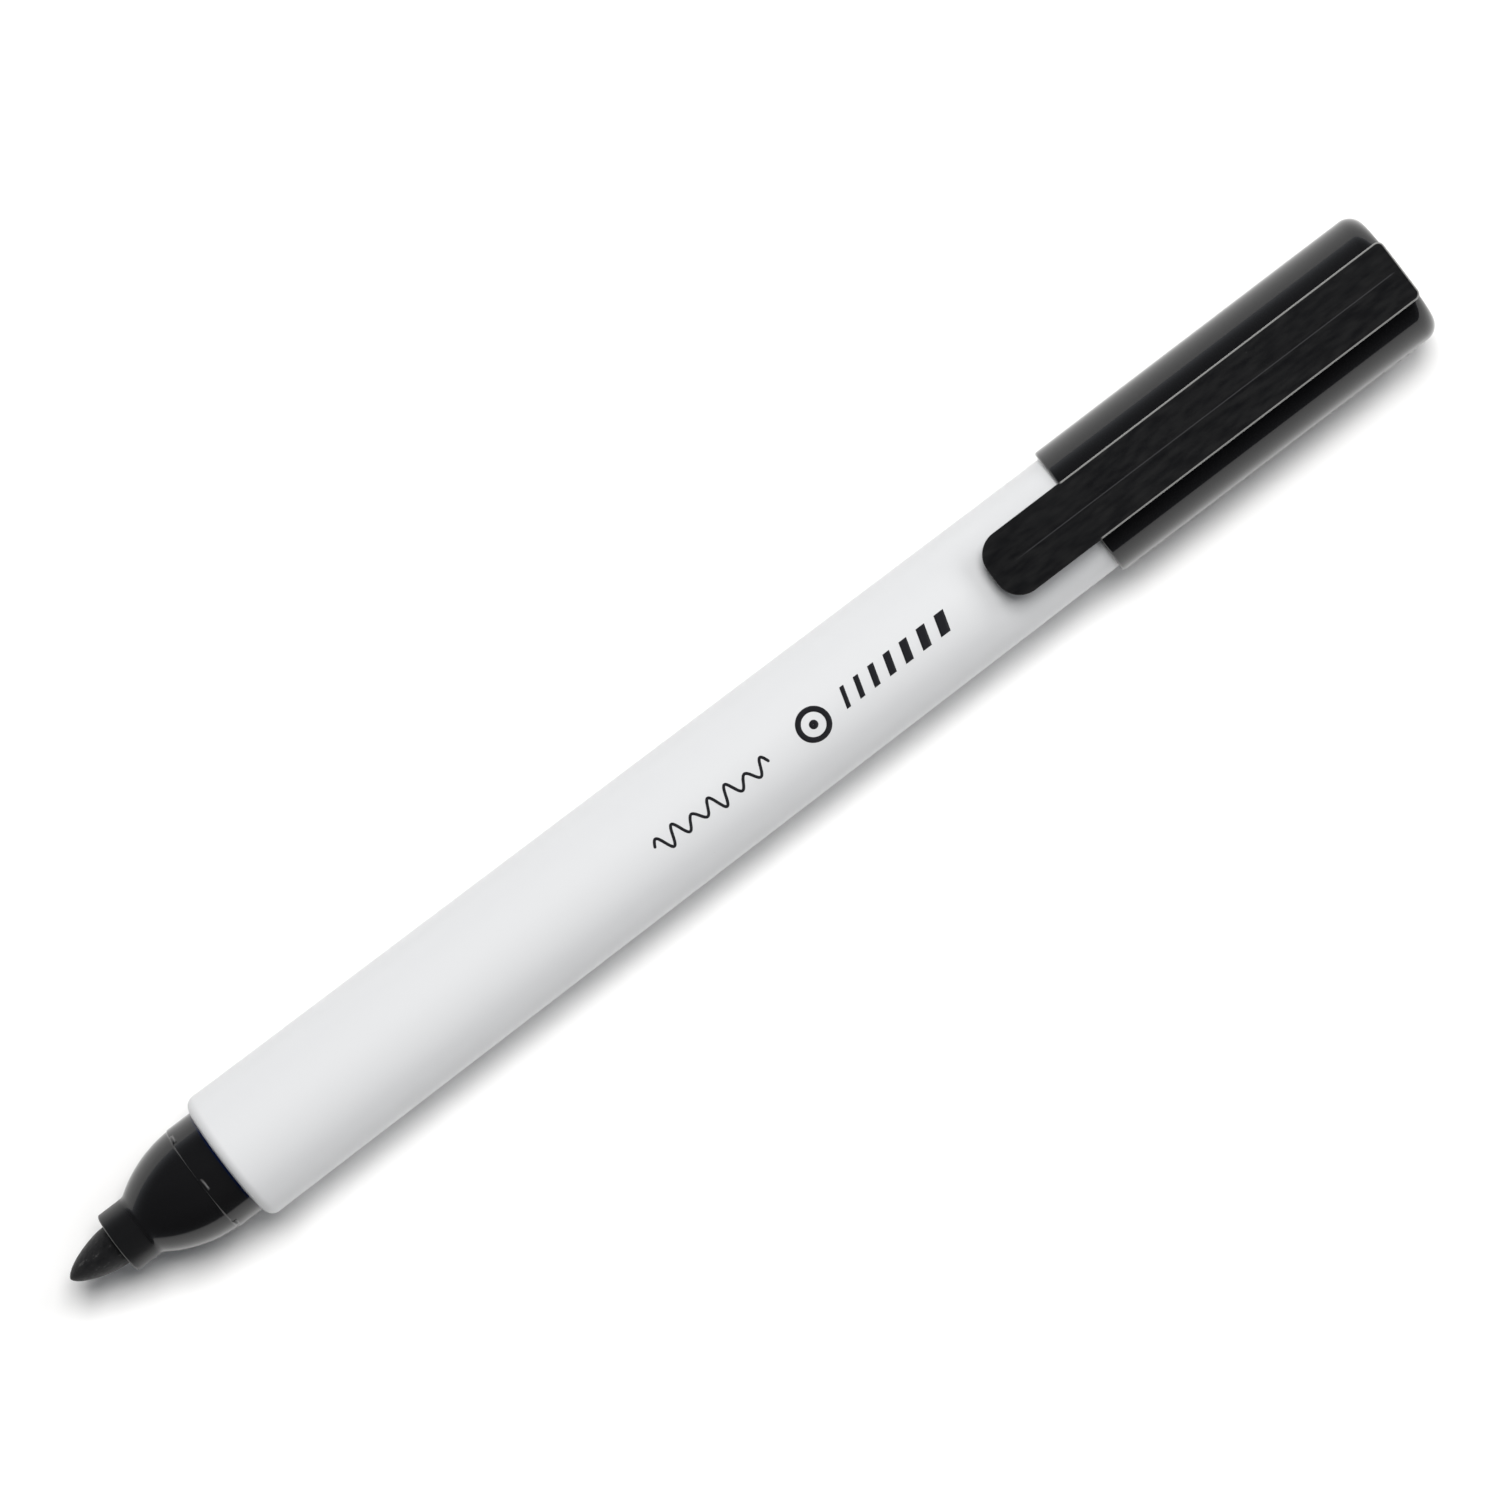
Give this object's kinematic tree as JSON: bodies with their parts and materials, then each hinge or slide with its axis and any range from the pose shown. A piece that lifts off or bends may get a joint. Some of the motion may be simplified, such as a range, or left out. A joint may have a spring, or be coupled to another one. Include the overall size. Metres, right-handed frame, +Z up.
{
  "type": "whiteboard marker",
  "caption": "Bullet-nib whiteboard marker with a white barrel, black nose and a black clip cap posted on its rear.",
  "frame": {"origin": "below the middle of the pen, on the surface it lies on", "axes": "+X along the pen from the nib to the cap's closed end, +Z up through the clip"},
  "size_m": [0.14, 0.0124, 0.0143],
  "materials": {
    "white_polypropylene": "satin",
    "black_gloss": "gloss",
    "black_matte": "fine texture",
    "inked_fibre": "bonded fibre",
    "reservoir_fibre": "soft fibre",
    "wrap_film": "clear film",
    "seal_polyethylene": "soft satin"
  },
  "bodies": {
    "pen": {"barrel": "white_polypropylene", "nose_section": "black_gloss", "nib": "inked_fibre", "ink_reservoir": "reservoir_fibre", "reservoir_wrap": "wrap_film"},
    "cap_carrier": {"cap_seal": "seal_polyethylene"},
    "cap": {"cap_shell": "black_gloss"},
    "cap_clip": {"clip": "black_matte"}
  },
  "joints": [
    {"name": "cap_pull", "type": "slide", "parent": "pen", "child": "cap_carrier", "axis": [1, 0, 0], "range_m": [0, 0.035]},
    {"name": "cap_spin", "type": "hinge", "parent": "cap_carrier", "child": "cap", "pos_m": [0.0471, 0, 0.00619], "axis": [1, 0, 0], "continuous": true},
    {"name": "clip_flex", "type": "hinge", "parent": "cap", "child": "cap_clip", "pos_m": [0.0657, 0, 0.01194], "axis": [0, 1, 0], "range_deg": [0, 3.5], "stiffness_Nm_per_rad": 0.15}
  ]
}
